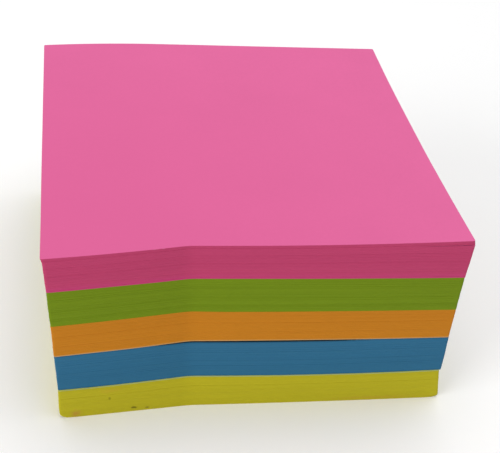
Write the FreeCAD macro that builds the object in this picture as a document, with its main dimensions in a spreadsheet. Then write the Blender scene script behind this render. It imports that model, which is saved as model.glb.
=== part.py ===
import FreeCAD, Part
import math
import os
import Sketcher

# Sticky note cube: five square pads in a stack, each one solid of many sheets.
# Frame: +Z up, origin at the middle of the bottom sheet, on the table. The creased side of the
# block faces -Y. Lengths are in millimetres.

SHEET = "Sizes"

DRIVING_SIZES = [
    ("block_width", 75.9, "left to right size of a sheet"),
    ("block_depth", 76.2, "front to back size of a sheet at its left side"),
    ("block_height", 41.9, "height of the stack at its middle, to the top sheet"),
    ("yellow_thick", 8.25, "bottom pad"),
    ("blue_thick", 9.9, "fourth pad"),
    ("orange_thick", 7.6, "third pad"),
    ("green_thick", 8.3, "second pad, and the top pad takes the rest of the height"),
    ("top_rise", 1.6, "how much higher the top is at its right side than at its left"),
    ("crown_radius", 1100, "bend of the pads' faces, higher in the middle than at the sides"),
    ("crown_offset", 5, "place of the highest line, right of the middle"),
    ("lean_left", 2.95, "how far the block leans to the left over lean_height"),
    ("lean_front", 2.2, "how far it leans to the front over lean_height"),
    ("lean_height", 42, "height over which the lean is taken"),
    ("crease_offset", 13.2, "place of the crease in the front face, left of the middle"),
    ("crease_depth", 2.65, "how far the crease is pressed in"),
    ("crease_radius", 15, "roundness of the crease"),
    ("left_bow_radius", 350, "bulge of the front face left of the crease"),
    ("right_bow_radius", 650, "bulge of the front face right of the crease"),
    ("front_set_back", 2.05, "how far the front right corner lies behind the front left one"),
    ("foot_crease_depth", 2.15, "how far the crease is pressed in at the bottom sheet"),
    ("foot_bow_radius", 2300, "bulge of the bottom sheet's front edge on both sides of the crease"),
    ("foot_set_back", 1.8, "front_set_back at the bottom sheet"),
    ("back_out_right", 0.1, "how far the back right corner lies right of the front right one"),
    ("back_set_in", 0.2, "how far the back right corner lies in front of the back left one"),
    ("crest_offset", 13, "place of the bulge in the back face, left of the middle"),
    ("crest_rise", 1.15, "height of that bulge"),
    ("side_bow_radius", 1450, "hollow of the right side"),
    ("flare_left", 0.4, "how far the bottom sheet sticks out on the left"),
    ("flare_right", 1.0, "how far the bottom sheet sticks out on the right"),
    ("step_right", 0.2, "how far the yellow pad's top lies in from the blue pad on the right"),
    ("gap_height", 0.45, "opening between the orange and the blue pad at the front"),
    ("gap_width", 44, "width of that opening, at the height of the blue pad's highest line"),
    ("gap_reach", 22, "how far that opening goes in from the front"),
    ("loose_thick", 0.9, "thickness of the loose sheets on top"),
    ("loose_left", 0.35, "how far the loose sheets stick out on the left"),
    ("loose_right", 0.1, "how far they stick out on the right"),
    ("slit_height", 0.25, "opening under the loose sheets at the front right corner"),
    ("slit_reach", 8, "how far that opening goes in from the corner, between front and side"),
]

# The pads from the table up
COLOURS = ["yellow", "blue", "orange", "green", "pink"]

# The sizes of a sheet's front edge: depth of the crease, set back, bulge left and right of the crease
FRONT_EDGE = ("crease_depth", "front_set_back", "left_bow_radius", "right_bow_radius")
FOOT_EDGE = ("foot_crease_depth", "foot_set_back", "foot_bow_radius", "foot_bow_radius")

SKETCH_ORIGIN = (-1, 1)
LINE_ENDS = (1, 2)
ARC_CENTRE = 3
POINT_ITSELF = 1


def size(alias):
    """The expression that reads one driving size."""
    return f"{SHEET}.{alias}"


def make_sheet(doc):
    sheet = doc.addObject("Spreadsheet::Sheet", SHEET)
    for row, (alias, value, meaning) in enumerate(DRIVING_SIZES, start=1):
        sheet.set(f"A{row}", alias)
        sheet.set(f"B{row}", str(value))
        sheet.set(f"C{row}", meaning)
        sheet.setAlias(f"B{row}", alias)
    doc.recompute()


def height_above(colours):
    """The height of the stack of the named pads under the top one."""
    return "(" + " + ".join(size(f"{colour}_thick") for colour in colours) + ")"


def cutter_reach():
    """Half the size of a cutter that trims a pad. It is a whole block, so it passes every side."""
    return size("block_width")


def lean(direction, height):
    """How far the block has leaned at a height, along its left or front direction."""
    return f"{size('lean_' + direction)} * ({height}) / {size('lean_height')}"


def add_body(doc, name):
    body = doc.addObject("PartDesign::Body", name)
    body.Label = name
    return body


def add_sketch(body, name, role):
    """A sketch on one of the body's own origin planes."""
    sketch = body.newObject("Sketcher::SketchObject", name)
    plane = next(feature for feature in body.Origin.OriginFeatures if feature.Role == role)
    sketch.AttachmentSupport = [(plane, "")]
    sketch.MapMode = "FlatFace"
    return sketch


def vector_at(sketch, place):
    x, y = (float(sketch.evalExpression(expression)) for expression in place)
    return FreeCAD.Vector(x, y, 0)


def end_near(sketch, geometry, point):
    """Which end of a line or arc lies nearest to a point."""
    return min(LINE_ENDS, key=lambda end: sketch.getPoint(geometry, end).distanceToPoint(point))


def tie_value(sketch, kind, items, expression):
    value = float(sketch.evalExpression(expression))
    index = sketch.addConstraint(Sketcher.Constraint(kind, *items, value))
    sketch.setExpression(f"Constraints[{index}]", expression)


def tie_point(sketch, geometry, point, place):
    """Hold one point of a line, arc or point at a place, measured from the sketch's origin."""
    for kind, expression in zip(("DistanceX", "DistanceY"), place):
        tie_value(sketch, kind, (*SKETCH_ORIGIN, geometry, point), expression)


def tie_place(sketch, geometry, place):
    """Hold the nearer end of a line or arc at a place."""
    tie_point(sketch, geometry, end_near(sketch, geometry, vector_at(sketch, place)), place)


def join(sketch, kind, first, second, place):
    """Make two pieces of an outline meet at a place, as a corner or tangent."""
    point = vector_at(sketch, place)
    sketch.addConstraint(Sketcher.Constraint(
        kind, first, end_near(sketch, first, point), second, end_near(sketch, second, point)))


def arc_through(start, finish, bulge):
    """An arc whose middle lies off its chord, to the right of the way where bulge is positive."""
    chord = finish - start
    side = FreeCAD.Vector(chord.y, -chord.x, 0).normalize() * bulge
    return Part.Arc(start, (start + finish) * 0.5 + side, finish)


def draw_edges(sketch, points, bulges, cut_back):
    """Draw a closed ring of lines and arcs through points, each end cut back from its point."""
    edges = []
    for i, (start, finish) in enumerate(zip(points, points[1:] + points[:1])):
        way = (finish - start).normalize()
        start = start + way * cut_back.get(i, 0)
        finish = finish - way * cut_back.get((i + 1) % len(points), 0)
        shape = arc_through(start, finish, bulges[i]) if i in bulges else Part.LineSegment(start, finish)
        edges.append(sketch.addGeometry(shape))
    return edges


def round_hollow_corner(sketch, before, after, place, radius):
    """Join two edges that meet at a hollow corner by an arc tangent to both."""
    start, finish = (sketch.getPoint(edge, end_near(sketch, edge, vector_at(sketch, place)))
                     for edge in (before, after))
    bulge = (start + finish).multiply(0.5).distanceToPoint(vector_at(sketch, place)) / 2
    rounding = sketch.addGeometry(arc_through(start, finish, -bulge))
    for edge, point in ((before, start), (after, finish)):
        sketch.addConstraint(Sketcher.Constraint(
            "Tangent", edge, end_near(sketch, edge, point), rounding, end_near(sketch, rounding, point)))
    tie_value(sketch, "Radius", (rounding,), radius)
    corner = sketch.addGeometry(Part.Point(vector_at(sketch, place)), True)
    tie_point(sketch, corner, POINT_ITSELF, place)
    for edge in (before, after):
        sketch.addConstraint(Sketcher.Constraint("PointOnObject", corner, POINT_ITSELF, edge))


def draw_sheet(sketch, out_left, out_right, front_edge=FRONT_EDGE):
    """A sheet seen from above, its left and right sides moved out by the given lengths.

    The front edge is pressed in at the crease and bulges on both sides of it, the back edge
    bulges behind the crease, and the right side is a little hollow.
    """
    crease_depth, set_back, left_bow, right_bow = front_edge
    left = f"-{size('block_width')} / 2 - ({out_left})"
    right = f"{size('block_width')} / 2 + ({out_right})"
    front, back = f"-{size('block_depth')} / 2", f"{size('block_depth')} / 2"
    places = [
        (left, front),
        (f"-{size('crease_offset')}", f"{front} + {size(crease_depth)}"),
        (right, f"{front} + {size(set_back)}"),
        (f"{right} + {size('back_out_right')}", f"{back} - {size('back_set_in')}"),
        (f"-{size('crest_offset')}", f"{back} + {size('crest_rise')}"),
        (left, back),
    ]
    crease, right_side, crest = 1, 2, 4
    points = [vector_at(sketch, place) for place in places]
    radii = {0: size(left_bow), crease: size(right_bow), right_side: size("side_bow_radius")}
    turn = (points[crease] - points[crease - 1]).getAngle(points[crease + 1] - points[crease])
    crease_reach = float(sketch.evalExpression(size("crease_radius"))) * math.tan(turn / 2)
    bulges = {i: (points[i + 1] - points[i]).Length ** 2 / (8 * float(sketch.evalExpression(radius)))
              for i, radius in radii.items()}
    bulges[right_side] *= -1
    bulges[crest] = float(sketch.evalExpression(size("crest_rise"))) / 2
    edges = draw_edges(sketch, points, bulges, {crease: crease_reach})
    for i, place in enumerate(places):
        if i == crease:
            round_hollow_corner(sketch, edges[i - 1], edges[i], place, size("crease_radius"))
        else:
            join(sketch, "Tangent" if i == crest else "Coincident", edges[i - 1], edges[i], place)
            tie_place(sketch, edges[i], place)
    for i, radius in radii.items():
        tie_value(sketch, "Radius", (edges[i],), radius)


def draw_face_line(sketch, height, slope):
    """A pad's face seen from the front, straight and at the given height over the origin."""
    reach = cutter_reach()
    left = (f"-{reach}", f"{height} - {reach} * {slope}")
    right = (reach, f"{height} + {reach} * {slope}")
    face = sketch.addGeometry(Part.LineSegment(vector_at(sketch, left), vector_at(sketch, right)))
    tie_place(sketch, face, left)
    tie_place(sketch, face, right)
    return face, left, right


def draw_face_arc(sketch, height):
    """A pad's face seen from the front, crowned, with its highest line at the given height."""
    reach, radius = cutter_reach(), size("crown_radius")
    bulge = float(sketch.evalExpression(f"{reach} ^ 2 / (2 * {radius})"))
    drop_left = f"({reach} + {size('crown_offset')}) ^ 2 / (2 * {radius})"
    drop_right = f"({reach} - {size('crown_offset')}) ^ 2 / (2 * {radius})"
    left = (f"-{reach}", f"{height} - {drop_left}")
    right = (reach, f"{height} - {drop_right}")
    face = sketch.addGeometry(arc_through(vector_at(sketch, left), vector_at(sketch, right), -bulge))
    tie_value(sketch, "Radius", (face,), radius)
    centre = (size("crown_offset"), f"{height} - {radius}")
    tie_point(sketch, face, ARC_CENTRE, centre)
    return face, left, right


def trim(body, side, height, crowned=True, slope="0"):
    """Cut away all that lies above or below a pad's face, and leave the pad between its two."""
    sketch = add_sketch(body, f"{body.Name}_{side}_area", "XZ_Plane")
    if crowned:
        face, left, right = draw_face_arc(sketch, height)
    else:
        face, left, right = draw_face_line(sketch, height, slope)
    reach = cutter_reach()
    far = reach if side == "above" else f"-{reach}"
    far_left, far_right = (f"-{reach}", far), (reach, far)
    way_round = [right, far_right, far_left, left]
    walls = [
        sketch.addGeometry(Part.LineSegment(vector_at(sketch, start), vector_at(sketch, finish)))
        for start, finish in zip(way_round, way_round[1:])]
    outline = [face, *walls, face]
    for before, after, place in zip(outline, outline[1:], way_round):
        join(sketch, "Coincident", before, after, place)
    tie_place(sketch, walls[1], far_left)
    tie_place(sketch, walls[1], far_right)
    if crowned:
        sketch.addConstraint(Sketcher.Constraint("Vertical", walls[0]))
        sketch.addConstraint(Sketcher.Constraint("Vertical", walls[2]))
    cut(body, f"{body.Name}_trim_{side}", sketch, "Symmetric")


def cut(body, name, sketch, side_type):
    """Cut a sketch's area out of the body, through all of it, to the front or to both sides."""
    pocket = body.newObject("PartDesign::Pocket", name)
    pocket.Profile = sketch
    pocket.SideType = side_type
    pocket.Reversed = side_type == "One side"
    pocket.setExpression("Length", f"4 * {cutter_reach()}")
    body.Document.recompute()


def set_offset(sketch, x, y, z):
    """Move a sketch off its plane, along the plane's own directions."""
    for direction, expression in zip("xyz", (x, y, z)):
        sketch.setExpression(f"AttachmentOffset.Base.{direction}", expression)


def turn_sketch(sketch, axis, angle):
    offset = sketch.AttachmentOffset
    sketch.AttachmentOffset = FreeCAD.Placement(offset.Base, FreeCAD.Rotation(FreeCAD.Vector(*axis), 1))
    sketch.setExpression("AttachmentOffset.Rotation.Angle", angle)


def make_yellow_pad(doc):
    """The bottom pad. Its sheets stick out more and more towards the table."""
    body = add_body(doc, "yellow_pad")
    thick = size("yellow_thick")
    bottom = add_sketch(body, "yellow_bottom_sheet", "XY_Plane")
    draw_sheet(bottom, size("flare_left"), size("flare_right"), FOOT_EDGE)
    top = add_sketch(body, "yellow_top_sheet", "XY_Plane")
    set_offset(top, f"-{lean('left', thick)}", f"-{lean('front', thick)}", thick)
    draw_sheet(top, "0", f"-{size('step_right')}")
    block = body.newObject("PartDesign::AdditiveLoft", "yellow_sheets")
    block.Profile = bottom
    block.Sections = [top]
    block.Ruled = True
    doc.recompute()
    return body


def add_leaning_block(body):
    """A block of sheets higher than the stack, which leans as the stack does."""
    sketch = add_sketch(body, f"{body.Name}_sheet", "XY_Plane")
    draw_sheet(sketch, "0", "0")
    block = body.newObject("PartDesign::Pad", f"{body.Name}_block")
    block.Profile = sketch
    block.UseCustomVector = True
    block.AlongSketchNormal = True
    block.setExpression("Direction.x", f"-{size('lean_left')}")
    block.setExpression("Direction.y", f"-{size('lean_front')}")
    block.setExpression("Direction.z", size("lean_height"))
    block.setExpression("Length", f"{size('block_height')} + {size('top_rise')}")
    body.Document.recompute()


def open_front_gap(body, crest):
    """Hollow the front of a pad's top, where the pad above stands off it."""
    sketch = add_sketch(body, "front_gap_profile", "XZ_Plane")
    set_offset(sketch, "0", "0", f"{size('block_depth')} / 2 - {size('gap_reach')}")
    half_width = f"{size('gap_width')} / 2"
    left, right = (f"-{half_width}", crest), (half_width, crest)
    first, last = vector_at(sketch, left), vector_at(sketch, right)
    lid = sketch.addGeometry(Part.LineSegment(first, last))
    bulge = float(sketch.evalExpression(size("gap_height")))
    hollow = sketch.addGeometry(arc_through(first, last, bulge))
    for place in (left, right):
        join(sketch, "Coincident", lid, hollow, place)
        tie_place(sketch, lid, place)
    radius = f"{size('gap_width')} ^ 2 / (8 * {size('gap_height')}) + {size('gap_height')} / 2"
    tie_value(sketch, "Radius", (hollow,), radius)
    cut(body, "front_gap", sketch, "One side")


def open_corner_slit(body, height, slope):
    """Let the front right corner of the loose sheets stand off the sheets under them."""
    sketch = add_sketch(body, "corner_slit_profile", "XZ_Plane")
    corner_x = f"({size('block_width')} / 2 - {lean('left', height)})"
    corner_y = f"(-{size('block_depth')} / 2 + {size('front_set_back')} - {lean('front', height)})"
    set_offset(sketch, corner_x, f"{height} + {corner_x} * {slope}", f"-{corner_y}")
    turn_sketch(sketch, (0, 1, 0), "-45 deg")
    reach, drop = size("slit_reach"), size("slit_height")
    seam_fall = f"{reach} * {slope} * cos(45 deg)"
    places = [(f"-{reach}", f"-{seam_fall}"), (reach, f"-2 * {drop}"), (reach, reach), (f"-{reach}", reach)]
    points = [vector_at(sketch, place) for place in places]
    lines = [
        sketch.addGeometry(Part.LineSegment(start, finish))
        for start, finish in zip(points, points[1:] + points[:1])]
    for i, place in enumerate(places):
        join(sketch, "Coincident", lines[i - 1], lines[i], place)
        tie_place(sketch, lines[i], place)
    cut(body, "corner_slit", sketch, "Symmetric")


def lay_loose_sheets(body, height, slope):
    """The upper sheets of the top pad, which have slid a little over the rest."""
    sketch = add_sketch(body, "loose_sheet", "XY_Plane")
    shift_left, shift_front = lean("left", height), lean("front", height)
    set_offset(sketch, f"-{shift_left}", f"-{shift_front}", f"{height} - {shift_left} * {slope}")
    turn_sketch(sketch, (0, 1, 0), f"-atan({slope})")
    draw_sheet(sketch, size("loose_left"), size("loose_right"))
    sheets = body.newObject("PartDesign::Pad", "loose_sheets")
    sheets.Profile = sketch
    sheets.setExpression("Length", size("loose_thick"))
    body.Document.recompute()


def make_middle_pad(doc, colour, colours_below):
    """A pad between two others, cut from the leaning block."""
    body = add_body(doc, f"{colour}_pad")
    add_leaning_block(body)
    rests_on_flat = colours_below == COLOURS[:1]
    trim(body, "below", height_above(colours_below), crowned=not rests_on_flat)
    trim(body, "above", height_above([*colours_below, colour]))
    return body


def make_pink_pad(doc, colours_below):
    """The top pad. Its top climbs to the right, and its upper sheets are loose."""
    body = add_body(doc, "pink_pad")
    add_leaning_block(body)
    trim(body, "below", height_above(colours_below))
    slope = f"({size('top_rise')} / {size('block_width')})"
    seam = f"({size('block_height')} - {size('loose_thick')})"
    trim(body, "above", seam, crowned=False, slope=slope)
    open_corner_slit(body, seam, slope)
    lay_loose_sheets(body, seam, slope)
    return body


def make_cube(doc):
    bodies = [make_yellow_pad(doc)]
    for count, colour in enumerate(COLOURS[1:-1], start=1):
        bodies.append(make_middle_pad(doc, colour, COLOURS[:count]))
        if colour == "blue":
            open_front_gap(bodies[-1], height_above(COLOURS[:count + 1]))
    bodies.append(make_pink_pad(doc, COLOURS[:-1]))
    doc.recompute()
    return bodies


def check(doc, bodies):
    """Stop if anything failed to build, a sketch is loose, or a cut took nothing away."""
    for item in doc.Objects:
        if {"Invalid", "Error"} & set(item.State):
            raise RuntimeError(f"{item.Label} failed to build")
        if item.TypeId == "Sketcher::SketchObject" and not item.FullyConstrained:
            raise RuntimeError(f"{item.Label} is not held by its sizes")
        if item.TypeId == "PartDesign::Pocket" and item.Shape.Volume >= item.BaseFeature.Shape.Volume:
            raise RuntimeError(f"{item.Label} cuts nothing")
    for body in bodies:
        if body.Shape.isNull() or not body.Shape.isValid() or len(body.Shape.Solids) != 1:
            raise RuntimeError(f"{body.Label} is not one valid solid")


def main():
    doc = FreeCAD.newDocument("sticky_note_cube")
    make_sheet(doc)
    bodies = make_cube(doc)
    check(doc, bodies)
    os.makedirs("parts", exist_ok=True)
    for body in bodies:
        body.Shape.exportStep(f"parts/{body.Label}.step")
        box = body.Shape.BoundBox
        print(f"{body.Label}: {body.Shape.Volume / 1000:.2f} cm3, z {box.ZMin:.2f} to {box.ZMax:.2f}")


main()
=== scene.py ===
import logging
import math
import random
from dataclasses import dataclass, field, replace
from enum import Enum, IntEnum

import bmesh
import bpy
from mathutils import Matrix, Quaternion, Vector, noise


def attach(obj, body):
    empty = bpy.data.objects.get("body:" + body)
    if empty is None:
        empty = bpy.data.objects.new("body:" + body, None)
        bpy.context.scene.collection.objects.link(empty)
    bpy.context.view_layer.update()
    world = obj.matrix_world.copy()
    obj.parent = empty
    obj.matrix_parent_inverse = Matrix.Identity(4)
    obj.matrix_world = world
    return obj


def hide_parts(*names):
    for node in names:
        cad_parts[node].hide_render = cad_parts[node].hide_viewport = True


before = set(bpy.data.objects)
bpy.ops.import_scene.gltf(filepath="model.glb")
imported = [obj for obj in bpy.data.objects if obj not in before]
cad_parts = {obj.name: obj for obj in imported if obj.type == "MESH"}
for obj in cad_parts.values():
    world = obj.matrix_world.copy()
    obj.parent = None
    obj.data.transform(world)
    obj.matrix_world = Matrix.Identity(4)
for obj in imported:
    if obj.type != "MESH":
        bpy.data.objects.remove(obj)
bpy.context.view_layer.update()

MM = 0.001
Rgb = tuple[float, float, float]
Socket = bpy.types.NodeSocket
log = logging.getLogger("sticky note cube")

# The mesh attribute that holds the place of each point in the flat, upright stack
IN_STACK = "place_in_stack"

# Most of a noise lies between these two values
NOISE_RANGE = (0.3, 0.7)

# Heights of layers add up in single precision, so a layer may lie this far under its sheet
LAYER_SLACK = 0.01

# Where the crease and the crest stand among the corners of a sheet
CREASE, CREST = 1, 4

# The faces between the stacks, at the middle of the block
YELLOW_TOP = 8.25 * MM
BLUE_TOP = 18.15 * MM
ORANGE_TOP = 25.75 * MM
GREEN_TOP = 34.05 * MM
LOOSE_BOTTOM = 41.0 * MM
BLOCK_TOP = 41.9 * MM


def mm(x: float, y: float, z: float) -> Vector:
    """A place or a size given in millimetres."""
    return Vector((x, y, z)) * MM


def between(start: float, end: float, share: float) -> float:
    """The value a share of the way from a start to an end."""
    return (1 - share) * start + share * end


def clamp(value: float) -> float:
    """A value, kept between 0 and 1."""
    return min(max(value, 0), 1)


def arch(along: float) -> float:
    """A parabola that is 0 at 0 and at 1, and 1 halfway."""
    return 4 * along * (1 - along)


def plateau(offset: float) -> float:
    """A hump with a flat middle, 1 high at 0 and down to 0 at -1 and 1."""
    return max(1 - offset ** 4, 0)


class Skin(IntEnum):
    """The two kinds of surface of a pad, in the order of its material slots."""

    SHEET = 0
    CUT_EDGE = 1


class Form(Enum):
    """The shape of a face between two pads, seen from the front."""

    FLAT = "flat"
    CROWNED = "crowned"
    CLIMBING = "climbing"


@dataclass(frozen=True)
class Stance:
    """How the whole block stands: it leans, its faces are crowned, and its top climbs.

    The leans are slopes against the upright, the climb is a slope along the width.
    """

    lean_left: float = 2.95 / 42
    lean_front: float = 2.2 / 42
    crown_radius: float = 1100 * MM
    crown_x: float = 5 * MM
    climb: float = 1.6 / 75.9

    def height_at(self, form: Form, height: float, x: float) -> float:
        """Height of a face between two pads over one place.

        Args:
            form: the shape of the face.
            height: its height at the crown line, or at the middle of the block.
            x: how far right of the middle the place lies.

        Returns:
            The height there in metres.
        """
        if form is Form.FLAT:
            return height
        if form is Form.CROWNED:
            return height - (x - self.crown_x) ** 2 / (2 * self.crown_radius)
        return height + self.climb * x

    def lean(self, point: Vector) -> Vector:
        """A point of the upright block, moved as the block leans."""
        return point - Vector((self.lean_left, self.lean_front, 0)) * point.z


@dataclass(frozen=True)
class Hollow:
    """A shallow hollow in the top of a stack of sheets, where the next one stands off it."""

    centre: Vector
    half_width: float
    reach: float
    depth: float

    def depth_at(self, x: float, y: float) -> float:
        """How deep the hollow is at a place.

        Args:
            x: place from left to right.
            y: place from front to back.

        Returns:
            The depth in metres, 0 outside the hollow.
        """
        across = plateau((x - self.centre.x) / self.half_width)
        inward = clamp(1 - (y - self.centre.y) / self.reach)
        return self.depth * across * math.sqrt(inward)


@dataclass(frozen=True)
class CornerSlit:
    """A wedge between two stacks of sheets, open at one corner."""

    corner: Vector
    reach: float
    depth: float

    def depth_at(self, x: float, y: float) -> float:
        """How deep the wedge is at a place.

        Args:
            x: place from left to right.
            y: place from front to back.

        Returns:
            The depth in metres, 0 past the wedge's end.
        """
        inward = ((self.corner.x - x) + (y - self.corner.y)) / math.sqrt(2)
        return self.depth * clamp(1 - inward / self.reach)


@dataclass(frozen=True)
class Swell:
    """A low swelling of the sheets, which runs through the block from front to back."""

    middle_x: float
    half_width: float
    rise: float

    def depth_at(self, x: float, y: float) -> float:
        """How deep the swelling lies at a place.

        Args:
            x: place from left to right.
            y: place from front to back, which makes no difference.

        Returns:
            The depth in metres, below 0 because the face rises.
        """
        return -self.rise * plateau((x - self.middle_x) / self.half_width) ** 2


@dataclass(frozen=True)
class Level:
    """A face between two stacks of sheets, with what is hollowed out of it or swells up."""

    height: float
    form: Form
    hollows: tuple[Hollow | CornerSlit | Swell, ...] = ()

    def at(self, stance: Stance, x: float, y: float) -> float:
        """Height of the face over one place of the upright block.

        Args:
            stance: how the block stands.
            x: place from left to right.
            y: place from front to back.

        Returns:
            The height there in metres.
        """
        spot = stance.lean(Vector((x, y, self.height)))
        fall = sum(hollow.depth_at(spot.x, spot.y) for hollow in self.hollows)
        return stance.height_at(self.form, self.height, spot.x) - fall


@dataclass(frozen=True)
class FrontEdge:
    """The front edge of a sheet, creased in, and bulging on both sides of the crease."""

    left_x: float
    crease_x: float
    right_x: float
    crease_depth: float
    set_back: float
    left_bow: float
    right_bow: float

    def along(self, x: float) -> float:
        """How far a place lies along its side of the crease, from 0 to 1."""
        ends = (self.left_x, self.crease_x) if x < self.crease_x else (self.crease_x, self.right_x)
        return (x - ends[0]) / (ends[1] - ends[0])

    def bow_at(self, x: float) -> float:
        """How far the edge bulges past the straight way to the crease at a place."""
        return (self.left_bow if x < self.crease_x else self.right_bow) * arch(self.along(x))

    def at(self, x: float) -> float:
        """How far the edge lies behind its left end at a place."""
        ends = (0, self.crease_depth) if x < self.crease_x else (self.crease_depth, self.set_back)
        return between(*ends, self.along(x)) - self.bow_at(x)


SIDE_X = 75.9 / 2 * MM
CREASE_X = -13.2 * MM
FRONT = FrontEdge(-SIDE_X, CREASE_X, SIDE_X, crease_depth=2.65 * MM, set_back=2.05 * MM,
                  left_bow=0.22 * MM, right_bow=0.5 * MM)
FOOT = FrontEdge(-SIDE_X, CREASE_X, SIDE_X, crease_depth=2.15 * MM, set_back=1.8 * MM,
                 left_bow=0.03 * MM, right_bow=0.14 * MM)


@dataclass(frozen=True)
class SheetOutline:
    """A sheet seen from above: creased in front, bulged behind, a little hollow at its right.

    The fades are powers: the higher one is, the closer its bulge or hollow stays to its edge.
    """

    width: float = 2 * SIDE_X
    depth: float = 76.2 * MM
    front: FrontEdge = FRONT
    front_fade: int = 2
    crease_round: float = 1.2 * MM
    back_out_right: float = 0.1 * MM
    back_set_in: float = 0.2 * MM
    crest_x: float = -13 * MM
    crest_rise: float = 1.15 * MM
    crest_bulge: float = 0.46 * MM
    crest_fade: int = 4
    side_bow: float = 0.5 * MM
    side_fade: int = 4
    corner_round: float = 0.3 * MM
    corner_steps: int = 3
    columns: int = 26
    rows: int = 14
    fine_margins: tuple[float, float] = (1.3 * MM, 0.6 * MM)
    cut_tolerance: float = 0.0001 * MM

    def corners(self) -> list[Vector]:
        """The corners of the sheet, from the front left one round to the back left one.

        Returns:
            Six places: the four true corners, with the crease and the crest between them.
        """
        right, back = self.width / 2, self.depth / 2
        return [
            Vector((-right, -back, 0)),
            Vector((self.front.crease_x, -back + self.front.crease_depth, 0)),
            Vector((right, -back + self.front.set_back, 0)),
            Vector((right + self.back_out_right, back - self.back_set_in, 0)),
            Vector((self.crest_x, back + self.crest_rise, 0)),
            Vector((-right, back, 0)),
        ]

    def from_corner(self, x: float, y: float) -> float:
        """How far a place is from the nearest of the sheet's four true corners.

        Args:
            x: place from left to right.
            y: place from front to back.

        Returns:
            The distance in metres.
        """
        return min((Vector((x, y, 0)) - corner).length
                   for order, corner in enumerate(self.corners()) if order not in (CREASE, CREST))

    def across(self, x: float) -> float:
        """How far across the sheet a place lies, 0 at the left and 1 at the right."""
        return x / self.width + 0.5

    def behind(self, y: float) -> float:
        """How far behind the front a place lies, 0 at the front and 1 at the back."""
        return max(y / self.depth + 0.5, 0)

    def in_front(self, y: float) -> float:
        """How far in front of the back a place lies, 0 at the back and 1 at the front."""
        return max(0.5 - y / self.depth, 0)

    def draw(self, bm: bmesh.types.BMesh) -> None:
        """Draw the sheet as a flat grid of faces.

        Args:
            bm: the empty mesh to draw it in.
        """
        verts = [bm.verts.new(corner) for corner in self.corners()]
        bm.faces.new(verts)
        true_corners = [vert for order, vert in enumerate(verts) if order not in (CREASE, CREST)]
        self.round_off(bm, [verts[CREASE]], self.crease_round)
        self.round_off(bm, true_corners, self.corner_round)
        for axis, size, steps in ((Vector((1, 0, 0)), self.width, self.columns),
                                  (Vector((0, 1, 0)), self.depth, self.rows)):
            places = [(step / steps - 0.5) * size for step in range(1, steps)]
            for margin in self.fine_margins:
                places += [margin - size / 2, size / 2 - margin]
            for place in places:
                bmesh.ops.bisect_plane(bm, geom=bm.verts[:] + bm.edges[:] + bm.faces[:],
                                       dist=self.cut_tolerance, plane_co=axis * place, plane_no=axis)
        self.bend_sides(bm)

    def round_off(self, bm: bmesh.types.BMesh, verts: list[bmesh.types.BMVert],
                  radius: float) -> None:
        """Round corners of the sheet.

        Args:
            bm: the sheet.
            verts: the corners.
            radius: how far from its corner a rounding starts.
        """
        bmesh.ops.bevel(bm, geom=verts, offset=radius, offset_type="OFFSET", affect="VERTICES",
                        segments=self.corner_steps, profile=0.5, material=-1)

    def bend_sides(self, bm: bmesh.types.BMesh) -> None:
        """Bulge the front and the left part of the back, and hollow the right side.

        Args:
            bm: the sheet, as a flat grid.
        """
        left_part = self.crest_x + self.width / 2
        for vert in bm.verts:
            x, y = vert.co.x, vert.co.y
            behind = self.behind(y)
            vert.co.x -= self.side_bow * arch(behind) * self.across(x) ** self.side_fade
            vert.co.y -= self.front.bow_at(x) * self.in_front(y) ** self.front_fade
            if x < self.crest_x:
                bulge = self.crest_bulge * arch((self.crest_x - x) / left_part)
                vert.co.y += bulge * behind ** self.crest_fade


@dataclass(frozen=True)
class Grain:
    """A noise over the paper, and how far it makes the paper's colour darker and lighter."""

    scale: float
    detail: float
    roughness: float
    tone: float = 0.0
    stretch: tuple[float, float, float] = (1, 1, 1)


CLOUDS = Grain(45, detail=4, roughness=0.55, tone=0.025)
FIBRES = Grain(1400, detail=3, roughness=0.6, tone=0.015)
SHEET_LINES = Grain(55, detail=3, roughness=0.7, tone=0.02, stretch=(1, 1, 160))
BUNDLES = Grain(22, detail=2, roughness=0.5, tone=0.015, stretch=(1, 1, 40))
CUT_FIBRES = Grain(900, detail=2, roughness=0.6, tone=0.02, stretch=(1, 1, 4))
RAGGED = Grain(1500, detail=2, roughness=0.6)


@dataclass(frozen=True)
class Mark:
    """A spot of dirt, a patch of another tone or a patch of painted shade, round a place on a pad.
    """

    place: Vector
    size: Vector
    colour: Rgb
    strength: float
    turn: float = 0.0
    softness: float = 0.6
    raggedness: float = 0.5


@dataclass(frozen=True)
class Band:
    """Another tone of the lowest or the highest sheets of a pad, which fades out at its end."""

    start: float
    end: float
    colour: Rgb
    strength: float


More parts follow.
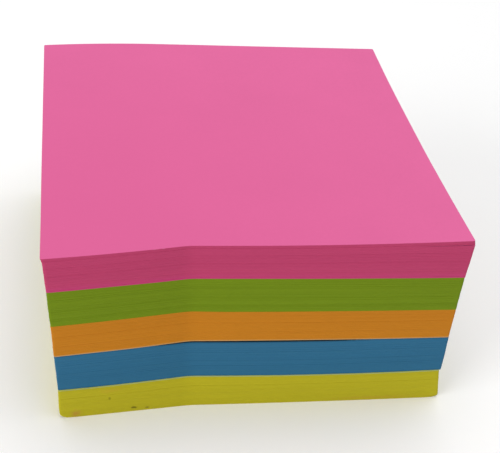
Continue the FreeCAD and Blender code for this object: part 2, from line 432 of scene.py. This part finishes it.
@dataclass(frozen=True)
class PaperFinish:
    """Coloured note paper, with its broad faces and its cut edges.

    A relief is its strength and its depth.
    """

    slot: str
    sheet_colour: Rgb
    edge_colour: Rgb
    roughness: float = 0.75
    sheet_specular: float = 0.25
    edge_specular: float = 0.1
    sheet_relief: tuple[float, float] = (0.25, 0.02 * MM)
    edge_relief: tuple[float, float] = (0.3, 0.03 * MM)
    bands: tuple[Band, ...] = ()
    marks: tuple[Mark, ...] = ()
    # Painted shade laid over the broad faces of the sheets
    painted_shade_on_sheets: tuple[Mark, ...] = ()

    def materials(self) -> list[bpy.types.Material]:
        """The materials of a pad, one for each Skin."""
        return [self.sheet_material(), self.edge_material()]

    def sheet_material(self) -> bpy.types.Material:
        """Smooth paper with a fine grain and cloudy fibres, with any painted shade laid over it.

        Returns:
            The material of the broad faces.
        """
        board = NodeBoard(f"{self.slot}_sheet", self.roughness, self.sheet_specular)
        place = board.object_place()
        clouds, fibres = board.noise(place, CLOUDS), board.noise(place, FIBRES)
        colour = board.grained(self.sheet_colour, [(clouds, CLOUDS), (fibres, FIBRES)])
        # Lay the painted shade over the broad faces
        for mark in self.painted_shade_on_sheets:
            colour = board.marked(colour, mark, place)
        board.colour(colour)
        board.bump(fibres, *self.sheet_relief)
        return board.material

    def edge_material(self) -> bpy.types.Material:
        """A stack of cut edges, with the lines of the sheets and the marks on them.

        Returns:
            The material of the cut edges.
        """
        board = NodeBoard(f"{self.slot}_cut_edges", self.roughness, self.edge_specular)
        place, in_stack = board.object_place(), board.attribute(IN_STACK)
        sheets, bundles = board.noise(in_stack, SHEET_LINES), board.noise(in_stack, BUNDLES)
        fibres = board.noise(place, CUT_FIBRES)
        noises = [(sheets, SHEET_LINES), (bundles, BUNDLES), (fibres, CUT_FIBRES)]
        colour = board.grained(self.edge_colour, noises)
        for band in self.bands:
            colour = board.banded(colour, band, in_stack)
        for mark in self.marks:
            colour = board.marked(colour, mark, place)
        board.colour(colour)
        board.bump(sheets, *self.edge_relief)
        return board.material


class NodeBoard:
    """A material and the nodes that are put on it, one behind the other."""

    def __init__(self, name: str, roughness: float, specular: float) -> None:
        """Start a material.

        Args:
            name: its name.
            roughness: roughness all over it.
            specular: how strongly it shines, all over it.
        """
        self.material = bpy.data.materials.new(name)
        self.material.use_nodes = True
        self.tree = self.material.node_tree
        self.shader = next(node for node in self.tree.nodes if node.type == "BSDF_PRINCIPLED")
        self.feed(self.shader, {"Roughness": roughness, "Specular IOR Level": specular})

    def add(self, kind: str, **settings: object) -> bpy.types.Node:
        """Put down a node.

        Args:
            kind: the node's type.
            settings: its own settings.

        Returns:
            The node.
        """
        node = self.tree.nodes.new(kind)
        for name, value in settings.items():
            setattr(node, name, value)
        return node

    def feed(self, node: bpy.types.Node, values: dict[str | int, object]) -> None:
        """Link other nodes' outputs to inputs of a node, or set them to plain values.

        Args:
            node: the node.
            values: the output or plain value for each input, by the input's name or order.
        """
        for key, value in values.items():
            if isinstance(value, Socket):
                self.tree.links.new(value, node.inputs[key])
            else:
                node.inputs[key].default_value = value

    def object_place(self) -> Socket:
        """The place on the piece, in metres."""
        return self.add("ShaderNodeTexCoord").outputs["Object"]

    def attribute(self, name: str) -> Socket:
        """A vector that the piece's own mesh carries."""
        return self.add("ShaderNodeAttribute", attribute_name=name).outputs["Vector"]

    def noise(self, place: Socket, grain: Grain) -> Socket:
        """A noise over the piece, finer where it is stretched more.

        Args:
            place: the place on the piece or in the stack.
            grain: the noise's own traits.

        Returns:
            The noise.
        """
        mapping = self.add("ShaderNodeMapping")
        self.feed(mapping, {"Vector": place, "Scale": grain.stretch})
        texture = self.add("ShaderNodeTexNoise")
        self.feed(texture, {"Vector": mapping.outputs["Vector"], "Scale": grain.scale,
                            "Detail": grain.detail, "Roughness": grain.roughness})
        return texture.outputs["Fac"]

    def ranged(self, value: Socket, source: tuple[float, float], target: tuple[float, float],
               **settings: object) -> Socket:
        """A value carried from one range to another, and kept within it.

        Args:
            value: the value.
            source: the range that it comes from.
            target: what the two ends of that range become.
            settings: the node's own settings.

        Returns:
            The value in the other range.
        """
        node = self.add("ShaderNodeMapRange", **settings)
        self.feed(node, {"Value": value, "From Min": source[0], "From Max": source[1],
                         "To Min": target[0], "To Max": target[1]})
        return node.outputs["Result"]

    def faded(self, value: Socket, start: float, end: float, strength: float) -> Socket:
        """A strength that fades softly to 0 while a value goes from a start to an end."""
        return self.ranged(value, (start, end), (strength, 0.0), interpolation_type="SMOOTHSTEP")

    def joined(self, operation: str, first: Socket | float, second: Socket) -> Socket:
        """Two values joined by a sum or another operation.

        Args:
            operation: the operation's name.
            first: the first value.
            second: the second value.

        Returns:
            The outcome.
        """
        node = self.add("ShaderNodeMath", operation=operation)
        self.feed(node, {0: first, 1: second})
        return node.outputs["Value"]

    def grained(self, colour: Rgb, noises: list[tuple[Socket, Grain]]) -> Socket:
        """A colour made darker and lighter by noises.

        Args:
            colour: the plain colour.
            noises: the noises, each with its traits.

        Returns:
            The uneven colour.
        """
        tone = 1.0
        for value, grain in noises:
            spread = self.ranged(value, NOISE_RANGE, (1 - grain.tone, 1 + grain.tone))
            tone = self.joined("MULTIPLY", tone, spread)
        scaled = self.add("ShaderNodeVectorMath", operation="SCALE")
        self.feed(scaled, {0: colour, "Scale": tone})
        return scaled.outputs["Vector"]

    def banded(self, colour: Socket, band: Band, in_stack: Socket) -> Socket:
        """A colour with another tone over some of the sheets.

        Args:
            colour: the tone of the other sheets.
            band: the other tone.
            in_stack: the place in the flat, upright stack.

        Returns:
            The colour of all sheets.
        """
        parts = self.add("ShaderNodeSeparateXYZ")
        self.feed(parts, {"Vector": in_stack})
        share = self.faded(parts.outputs["Z"], band.start, band.end, band.strength)
        return self.mixed(colour, band.colour, share)

    def mixed(self, colour: Socket, other: Rgb, share: Socket) -> Socket:
        """A colour with a share of another one mixed in.

        Args:
            colour: the colour.
            other: the other one.
            share: how much of the other one, 1 for nothing else.

        Returns:
            The mixture.
        """
        mix = self.add("ShaderNodeMix", data_type="RGBA")
        first, second = [key for key, socket in enumerate(mix.inputs) if socket.type == "RGBA"]
        self.feed(mix, {"Factor": share, first: colour, second: (*other, 1)})
        return next(socket for socket in mix.outputs if socket.type == "RGBA")

    def marked(self, colour: Socket, mark: Mark, place: Socket) -> Socket:
        """A colour with a mark on it.

        Args:
            colour: the clean colour.
            mark: the mark.
            place: the place on the piece.

        Returns:
            The marked colour.
        """
        mapping = self.add("ShaderNodeMapping", vector_type="TEXTURE")
        self.feed(mapping, {"Vector": place, "Location": mark.place,
                            "Rotation": (0, mark.turn, 0), "Scale": mark.size})
        length = self.add("ShaderNodeVectorMath", operation="LENGTH")
        self.feed(length, {0: mapping.outputs["Vector"]})
        ragged = self.ranged(self.noise(place, RAGGED), NOISE_RANGE,
                             (-mark.raggedness, mark.raggedness))
        reach = self.joined("ADD", length.outputs["Value"], ragged)
        share = self.faded(reach, 1 - mark.softness, 1 + mark.softness, mark.strength)
        return self.mixed(colour, mark.colour, share)

    def colour(self, value: object) -> None:
        """Give the surface its colour."""
        self.feed(self.shader, {"Base Color": value})

    def bump(self, height: Socket, strength: float, depth: float) -> None:
        """Give the surface its fine relief.

        Args:
            height: how high each place stands, from 0 to 1.
            strength: how strongly the relief shows.
            depth: its depth in metres.
        """
        node = self.add("ShaderNodeBump")
        self.feed(node, {"Height": height, "Strength": strength, "Distance": depth})
        self.feed(self.shader, {"Normal": node.outputs["Normal"]})


@dataclass
class SheetStack:
    """A stack of sheets of one colour, modelled sheet by sheet.

    Each sheet lies a hair to the side of the one under it. The lowest and the highest sheet follow
    the faces that the stack lies between. The three ways out hold a value for the lowest and one
    for the highest sheet. The fades are powers, as in SheetOutline. A face whose normal rises or
    falls by more than level_enough is a broad face of a sheet, any other one is a cut edge.
    """

    name: str
    node: str
    finish: PaperFinish
    below: Level
    above: Level
    stance: Stance
    outline: SheetOutline
    seed: int
    out_left: tuple[float, float] = (0.0, 0.0)
    out_right: tuple[float, float] = (0.0, 0.0)
    out_corner: tuple[float, float] = (0.0, 0.0)
    corner_fade: int = 3
    foot: FrontEdge | None = None
    foot_fade: int = 2
    corner_wear: float = 1.0 * MM
    wear_height: tuple[float, float] = (2.6 * MM, 1.0 * MM)
    wear_fade: int = 2
    lip: float = 0.0
    lip_sheets: int = 4
    lip_fade: int = 6
    sheet_thickness: float = 0.1 * MM
    sheet_share: float = 0.9
    slip: float = 0.009 * MM
    drift: float = 0.04 * MM
    sways: tuple[float, ...] = (5, 17, 6, 19)
    wave: float = 0.05 * MM
    wave_scale: float = 60
    wave_step: float = 0.012
    weld_distance: float = 0.01 * MM
    level_enough: float = 0.5
    sharp_angle: float = math.radians(28)
    shifts: list[Vector] = field(default_factory=list)

    @property
    def count(self) -> int:
        """How many sheets the stack has."""
        return round((self.above.height - self.below.height) / self.sheet_thickness)

    def build(self) -> bpy.types.Object:
        """Model the stack and put it in the scene.

        Returns:
            The finished piece, which rides on the frame in place of its node.
        """
        bm = bmesh.new()
        self.outline.draw(bm)
        self.raise_sheets(bm)
        for face in bm.faces:
            broad = abs(face.normal.z) > self.level_enough
            face.material_index = Skin.SHEET if broad else Skin.CUT_EDGE
            face.smooth = True
        self.shifts = self.scatter()
        in_stack = bm.verts.layers.float_vector.new(IN_STACK)
        for vert in bm.verts:
            height = between(self.below.height, self.above.height, vert.co.z / self.count)
            vert[in_stack] = (vert.co.x, vert.co.y, height)
            vert.co = self.settle(vert.co)
        bmesh.ops.recalc_face_normals(bm, faces=bm.faces[:])
        mesh = bpy.data.meshes.new(self.name)
        bm.to_mesh(mesh)
        bm.free()
        mesh.set_sharp_from_angle(angle=self.sharp_angle)
        for material in self.finish.materials():
            mesh.materials.append(material)
        piece = bpy.data.objects.new(self.name, mesh)
        bpy.context.scene.collection.objects.link(piece)
        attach(piece, "root")
        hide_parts(self.node)
        return piece

    def raise_sheets(self, bm: bmesh.types.BMesh) -> None:
        """Pull the walls of the sheets up from the lowest one, and lay the top face on them.

        Args:
            bm: the lowest sheet, flat. Heights count sheets from here on.
        """
        top = bmesh.ops.duplicate(bm, geom=bm.verts[:] + bm.edges[:] + bm.faces[:])
        lid = {item for item in top["geom"] if isinstance(item, bmesh.types.BMVert)}
        rim = [edge for edge in bm.edges if edge.is_boundary and not lid & set(edge.verts)]
        bmesh.ops.translate(bm, verts=list(lid), vec=(0, 0, self.count))
        for sheet in range(self.count):
            last = sheet == self.count - 1
            for step in ((1.0,) if last else (self.sheet_share, 1 - self.sheet_share)):
                wall = bmesh.ops.extrude_edge_only(bm, edges=rim)["geom"]
                rim = [item for item in wall if isinstance(item, bmesh.types.BMEdge)]
                raised = [item for item in wall if isinstance(item, bmesh.types.BMVert)]
                bmesh.ops.translate(bm, vec=(0, 0, step), verts=raised)
        seam = lid | {vert for edge in rim for vert in edge.verts}
        bmesh.ops.remove_doubles(bm, verts=list(seam), dist=self.weld_distance)
        bmesh.ops.recalc_face_normals(bm, faces=bm.faces[:])

    def scatter(self) -> list[Vector]:
        """Slide the sheets: slowly to and fro over the stack, and each one by itself.

        Returns:
            How far each sheet lies from its right place, from the lowest one up.
        """
        rng = random.Random(self.seed)
        turns = [rng.uniform(0, math.tau) for _ in self.sways]
        shifts = []
        for sheet in range(self.count):
            share = sheet / self.count
            long_x, short_x, long_y, short_y = [math.sin(sway * share + turn)
                                                for sway, turn in zip(self.sways, turns)]
            slow = Vector((long_x + short_x / 2, long_y + short_y / 2, 0))
            loose = Vector((rng.gauss(0, 1), rng.gauss(0, 1), 0))
            shifts.append(slow * self.drift / 2 + loose * self.slip)
        return shifts

    def settle(self, place: Vector) -> Vector:
        """Where a point of the flat, upright stack ends up in the block.

        Args:
            place: the point, its height counted in sheets.

        Returns:
            The point in metres.
        """
        x, y, layer = place
        share = layer / self.count
        sheet = min(int(layer + LAYER_SLACK), self.count - 1)
        flat = Vector((x + self.moved_out(x, y, share), y - self.lip_at(y, sheet), 0))
        if self.foot:
            shaped = (self.foot.at(x) - self.outline.front.at(x)) * (1 - share)
            flat.y += shaped * self.outline.in_front(y) ** self.foot_fade
            flat -= self.worn_off(x, y, sheet)
        flat += self.shifts[sheet]
        ripple = noise.noise(Vector((x, y, 0)) * self.wave_scale
                             + Vector((0, 0, layer * self.wave_step + self.seed)))
        flat *= 1 + ripple * self.wave / (self.outline.width / 2)
        low, high = (level.at(self.stance, x, y) for level in (self.below, self.above))
        flat.z = between(low, high, share)
        return self.stance.lean(flat)

    def moved_out(self, x: float, y: float, share: float) -> float:
        """How far right the sheets reach past their outline at a place.

        Args:
            x: place from left to right.
            y: place from front to back.
            share: how far up the stack, from 0 to 1.

        Returns:
            The distance in metres, below 0 where they reach out to the left.
        """
        left, right, corner = (between(*way, share)
                               for way in (self.out_left, self.out_right, self.out_corner))
        across = self.outline.across(x)
        near = max(across * self.outline.in_front(y), 0)
        return between(-left, right, across) + corner * near ** self.corner_fade

    def lip_at(self, y: float, sheet: int) -> float:
        """How far the highest sheets stand out in front.

        Args:
            y: place from front to back.
            sheet: which sheet, from the lowest one up.

        Returns:
            The distance in metres.
        """
        share = max(1 - (self.count - 1 - sheet) / self.lip_sheets, 0)
        return self.lip * share * self.outline.in_front(y) ** self.lip_fade

    def worn_off(self, x: float, y: float, sheet: int) -> Vector:
        """How far the worn corners of the lowest sheets are drawn in.

        Args:
            x: place from left to right.
            y: place from front to back.
            sheet: which sheet, from the lowest one up.

        Returns:
            The way from the middle of the sheet that is missing.
        """
        wear_height = between(*self.wear_height, self.outline.across(x))
        worn = max(1 - sheet * self.sheet_thickness / wear_height, 0)
        near = max(1 - self.outline.from_corner(x, y) / (2 * self.corner_wear), 0)
        depth = self.corner_wear * (1 - math.sqrt(1 - worn ** 2)) * near ** self.wear_fade
        return Vector((x, y, 0)).normalized() * depth


@dataclass
class NoteBlock:
    """The block of five pads, from the table up. The highest pad has some loose sheets on it."""

    stance: Stance = Stance()
    outline: SheetOutline = SheetOutline()
    gap: Hollow = Hollow(mm(0, -36.6, 0), half_width=22 * MM, reach=20.5 * MM, depth=0.45 * MM)
    slit: CornerSlit = CornerSlit(mm(34.97, -38.2, 0), reach=8 * MM, depth=0.25 * MM)
    blue_top_swell: Swell = Swell(-42 * MM, half_width=18 * MM, rise=0.12 * MM)
    orange_top_swell: Swell = Swell(-30 * MM, half_width=22 * MM, rise=0.25 * MM)
    green_top_swell: Swell = Swell(-42 * MM, half_width=22 * MM, rise=0.2 * MM)

    def stacks(self) -> list[SheetStack]:
        """The stacks of sheets, each between two of the faces.

        Returns:
            The stacks from the table up.
        """
        table = Level(0.0, Form.FLAT)
        yellow_top = Level(YELLOW_TOP, Form.FLAT)
        blue_top = Level(BLUE_TOP, Form.CROWNED, (self.blue_top_swell,))
        orange_top = Level(ORANGE_TOP, Form.CROWNED, (self.orange_top_swell,))
        green_top = Level(GREEN_TOP, Form.CROWNED, (self.green_top_swell,))
        loose_bottom = Level(LOOSE_BOTTOM, Form.CLIMBING)
        block_top = Level(BLOCK_TOP, Form.CLIMBING)
        under_gap = replace(blue_top, hollows=(*blue_top.hollows, self.gap))
        under_slit = replace(loose_bottom, hollows=(self.slit,))
        common = {"stance": self.stance, "outline": self.outline}
        return [
            SheetStack("yellow_sheets", "yellow_pad", YELLOW, table, yellow_top, seed=11,
                       out_left=(0.4 * MM, 0.0), out_right=(1.0 * MM, -0.2 * MM),
                       foot=FOOT, lip=0.15 * MM, **common),
            SheetStack("blue_sheets", "blue_pad", BLUE, yellow_top, under_gap, seed=23,
                       out_right=(0.22 * MM, 0.14 * MM), **common),
            SheetStack("orange_sheets", "orange_pad", ORANGE, blue_top, orange_top, seed=37,
                       out_right=(0.13 * MM, 0.13 * MM), **common),
            SheetStack("green_sheets", "green_pad", GREEN, orange_top, green_top, seed=41,
                       out_right=(0.11 * MM, 0.17 * MM), **common),
            SheetStack("pink_sheets", "pink_pad", PINK, green_top, under_slit, seed=53,
                       out_left=(0.0, 0.1 * MM), out_right=(0.21 * MM, 0.12 * MM),
                       out_corner=(0.1 * MM, 0.5 * MM), **common),
            SheetStack("pink_loose_sheets", "pink_pad", PINK, loose_bottom, block_top, seed=67,
                       out_left=(0.15 * MM, 0.33 * MM), out_corner=(0.55 * MM, 0.35 * MM),
                       **common),
        ]

    def build(self) -> None:
        """Build each stack and say so."""
        for stack in self.stacks():
            piece = stack.build()
            log.info("%s: %d sheets, %d faces", piece.name, stack.count, len(piece.data.polygons))


DIRT = (
    Mark(mm(-28.9, -37.5, 4.45), mm(0.2, 3, 0.5), (0.1, 0.1, 0.0), strength=0.45, turn=-0.05),
    Mark(mm(-24.1, -36.9, 1.05), mm(0.6, 3, 0.22), (0.05, 0.045, 0.0), strength=0.68),
    Mark(mm(-21.5, -36.7, 0.75), mm(0.4, 3, 0.26), (0.12, 0.11, 0.02), strength=0.6, turn=-0.1),
    Mark(mm(-35.2, -37.8, 1.0), mm(0.85, 3, 0.75), (0.5, 0.24, 0.05), strength=0.65, turn=0.1,
         softness=0.9),
    Mark(mm(-28.7, -37.6, 6.7), mm(1.6, 3, 0.5), (0.55, 0.36, 0.03), strength=0.35, softness=0.9),
    Mark(mm(25.0, -37.0, 0.7), mm(7, 3, 0.35), (0.5, 0.3, 0.03), strength=0.45, softness=0.9),
)
NICK_COLOUR = (0.7, 0.25, 0.42)
NICKS = (
    Mark(mm(-22.1, -38.5, 41.5), mm(0.5, 3, 0.13), NICK_COLOUR, strength=0.5),
    Mark(mm(-20.6, -38.4, 41.5), mm(0.25, 3, 0.12), NICK_COLOUR, strength=0.5, turn=0.3),
)
# Painted shade: the front left of the pink top sheet is darker and more saturated, standing in for
# less light and sheen falling there
PAINTED_SHADE_FRONT_LEFT = Mark(mm(-45, -50, 42), mm(60, 70, 40), (0.655, 0.102, 0.276), strength=0.8,
               softness=1.0, raggedness=0.0)
# Painted shade: a dark patch on the blue pad's top sheet inside the gap under the orange pad,
# standing in for the shadow there
GAP_SHADE = Mark(mm(-1.5, -36.4, 18), mm(22, 1.6, 3), (0.005, 0.012, 0.015), strength=0.8,
                 softness=0.1, raggedness=0.1)

YELLOW = PaperFinish(
    "yellow_paper", sheet_colour=(0.6, 0.56, 0.04), edge_colour=(0.486, 0.429, 0.0162),
    # Painted highlight: the highest yellow sheets turn a lighter grey, standing in for the top edge
    # of the yellow pad catching the light
    bands=(Band(YELLOW_TOP, YELLOW_TOP - 0.4 * MM, (0.37, 0.5, 0.28), strength=1.0),),
    marks=DIRT)
BLUE = PaperFinish(
    "blue_paper", sheet_colour=(0.05, 0.25, 0.45), edge_colour=(0.0285, 0.143, 0.261),
    # Painted shade: the highest blue sheets are darkened along the seam, standing in for the shadow
    # of the gap under the orange pad
    bands=(Band(BLUE_TOP, BLUE_TOP - 0.35 * MM, (0.01, 0.025, 0.03), strength=0.25),),
    painted_shade_on_sheets=(GAP_SHADE,))
ORANGE = PaperFinish(
    "orange_paper", sheet_colour=(0.8, 0.3, 0.02), edge_colour=(0.538, 0.197, 0.0119),
    bands=(Band(BLUE_TOP, BLUE_TOP + 0.4 * MM, (0.55, 0.33, 0.13), strength=0.9),))
GREEN = PaperFinish(
    "green_paper", sheet_colour=(0.25, 0.36, 0.02), edge_colour=(0.159, 0.243, 0.0071))
PINK = PaperFinish(
    "pink_paper", sheet_colour=(0.708, 0.129, 0.322), edge_colour=(0.493, 0.0526, 0.144),
    bands=(Band(GREEN_TOP, GREEN_TOP + 1.6 * MM, (0.58, 0.05, 0.2), strength=0.5),),
    marks=NICKS, painted_shade_on_sheets=(PAINTED_SHADE_FRONT_LEFT,))


@dataclass(frozen=True)
class Softbox:
    """A rectangular lamp that looks at the block."""

    name: str
    place: Vector
    size: tuple[float, float]
    watts: float

    def build(self, aim: Vector) -> None:
        """Hang the lamp up.

        Args:
            aim: what it looks at.
        """
        lamp = bpy.data.lights.new(self.name, "AREA")
        lamp.shape = "RECTANGLE"
        lamp.size, lamp.size_y = self.size
        lamp.energy = self.watts
        holder = bpy.data.objects.new(self.name, lamp)
        holder.location = self.place
        holder.rotation_mode = "QUATERNION"
        holder.rotation_quaternion = (aim - self.place).to_track_quat("-Z", "Y")
        bpy.context.scene.collection.objects.link(holder)


@dataclass(frozen=True)
class Studio:
    """The pale table, the light and the camera."""

    table_size: float = 6.0
    table_colour: Rgb = (0.97, 0.97, 0.97)
    sky_strength: float = 0.42
    lamps: tuple[Softbox, ...] = (
        Softbox("overhead_softbox", Vector((0.1, 0.1, 0.8)), (0.9, 0.8), watts=4.5),
        Softbox("left_softbox", Vector((-0.8, -0.45, 0.35)), (0.6, 0.6), watts=5.2),
    )
    lamp_aim: Vector = mm(0, 0, 20)
    azimuth: float = math.radians(-13.608)
    elevation: float = math.radians(37.55)
    roll: float = math.radians(7.906)
    distance: float = 237.616 * MM
    camera_aim: Vector = mm(7.067, 14.561, 0)
    focal_pixels: float = 983.916
    picture_width: float = 500
    middle_right: float = 0.5
    middle_drop: float = 20
    sensor: float = 36
    sight: tuple[float, float] = (0.01, 20)

    def build(self) -> None:
        """Set the whole studio up."""
        self.lay_table()
        for lamp in self.lamps:
            lamp.build(self.lamp_aim)
        self.light_sky()
        self.place_camera()
        settings = bpy.context.scene.view_settings
        settings.view_transform = "Standard"
        settings.look = "None"

    def lay_table(self) -> None:
        """A wide pale table top under the block."""
        bm = bmesh.new()
        bmesh.ops.create_grid(bm, x_segments=2, y_segments=2, size=self.table_size / 2)
        mesh = bpy.data.meshes.new("table_top")
        bm.to_mesh(mesh)
        bm.free()
        board = NodeBoard("pale_table", roughness=0.8, specular=0.1)
        board.colour((*self.table_colour, 1))
        mesh.materials.append(board.material)
        table = bpy.data.objects.new("table_top", mesh)
        bpy.context.scene.collection.objects.link(table)

    def light_sky(self) -> None:
        """An even white light from all round."""
        world = bpy.data.worlds.new("studio_walls")
        world.use_nodes = True
        background = next(node for node in world.node_tree.nodes if node.type == "BACKGROUND")
        background.inputs["Color"].default_value = (1, 1, 1, 1)
        background.inputs["Strength"].default_value = self.sky_strength
        bpy.context.scene.world = world

    def place_camera(self) -> None:
        """Stand the camera where the photograph was taken."""
        lens = bpy.data.cameras.new("camera")
        lens.sensor_fit = "HORIZONTAL"
        lens.sensor_width = self.sensor
        lens.lens = self.focal_pixels * self.sensor / self.picture_width
        lens.shift_x = -self.middle_right / self.picture_width
        lens.shift_y = self.middle_drop / self.picture_width
        lens.clip_start, lens.clip_end = self.sight
        back = Vector((math.sin(self.azimuth) * math.cos(self.elevation),
                       -math.cos(self.azimuth) * math.cos(self.elevation),
                       math.sin(self.elevation)))
        level_view = (-back).to_track_quat("-Z", "Y")
        camera = bpy.data.objects.new("camera", lens)
        camera.location = self.camera_aim + back * self.distance
        camera.rotation_mode = "QUATERNION"
        camera.rotation_quaternion = level_view @ Quaternion((0, 0, 1), self.roll)
        bpy.context.scene.collection.objects.link(camera)
        bpy.context.scene.camera = camera


def main() -> None:
    """Build the block and the studio."""
    logging.basicConfig(level=logging.INFO, format="%(name)s: %(message)s")
    NoteBlock().build()
    Studio().build()


if __name__ == "__main__":
    main()
